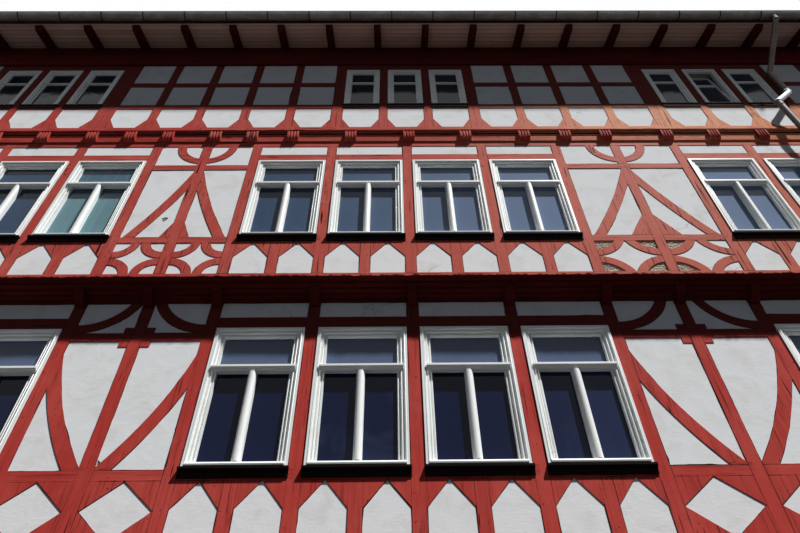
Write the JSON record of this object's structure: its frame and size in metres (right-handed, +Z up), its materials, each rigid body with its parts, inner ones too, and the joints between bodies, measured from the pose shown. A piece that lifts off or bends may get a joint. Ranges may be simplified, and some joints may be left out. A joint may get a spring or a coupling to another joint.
{
  "type": "half timbered house",
  "caption": "Half-timbered town house of four storeys with jetties, curved braces, white windows, moulded cornices and a steep tiled roof with flared eaves.",
  "frame": {"origin": "middle of the house's plan at street level, under the plinth", "axes": "+X along the street front towards its right end seen from the street, +Y from the street into the house, +Z up"},
  "size_m": [18.477, 11.552, 20.4004],
  "materials": {
    "oxide_timber": "matt oxide red paint on oak",
    "faded_timber": "faded oxide red paint on oak",
    "dark_timber": "dark red paint on oak",
    "plaster": "lime plaster",
    "white_paint": "white gloss paint",
    "glass": "clear float",
    "oak": "dark stained oak",
    "boards": "planed boards",
    "sandstone": "tooled sandstone",
    "clay_tiles": "fired clay",
    "zinc": "weathered zinc"
  },
  "bodies": {
    "root": {"ground_floor": "sandstone", "plinth_front": "sandstone", "plinth_sides": "sandstone", "plinth_back": "sandstone", "frame_ground": "oxide_timber", "infill_ground": "plaster", "windows_ground": "white_paint", "glass_ground": "glass", "sills_ground": "dark_timber", "door_frame": "oak", "door_leaf": "oak", "frame_first": "oxide_timber", "infill_first": "plaster", "windows_first": "white_paint", "glass_first": "glass", "sills_first": "dark_timber", "frame_second": "faded_timber", "infill_second": "plaster", "windows_second": "white_paint", "glass_second": "glass", "sills_second": "dark_timber", "frame_top": "faded_timber", "infill_top": "plaster", "windows_top": "white_paint", "glass_top": "glass", "sills_top": "dark_timber", "jetty_cornices": "dark_timber", "beam_heads": "faded_timber", "filler_boards": "faded_timber", "upper_floors": "boards", "frame_left": "oxide_timber", "infill_left": "plaster", "frame_right": "oxide_timber", "infill_right": "plaster", "frame_back": "oxide_timber", "infill_back": "plaster", "rear_windows": "white_paint", "rear_glass": "glass", "frieze": "dark_timber", "rafter_tails": "dark_timber", "soffit_boards": "boards", "eaves_roof": "clay_tiles", "roof_front": "clay_tiles", "roof_back": "clay_tiles", "ridge_tiles": "clay_tiles", "gutters": "zinc", "downpipe": "zinc"}
  },
  "joints": []
}
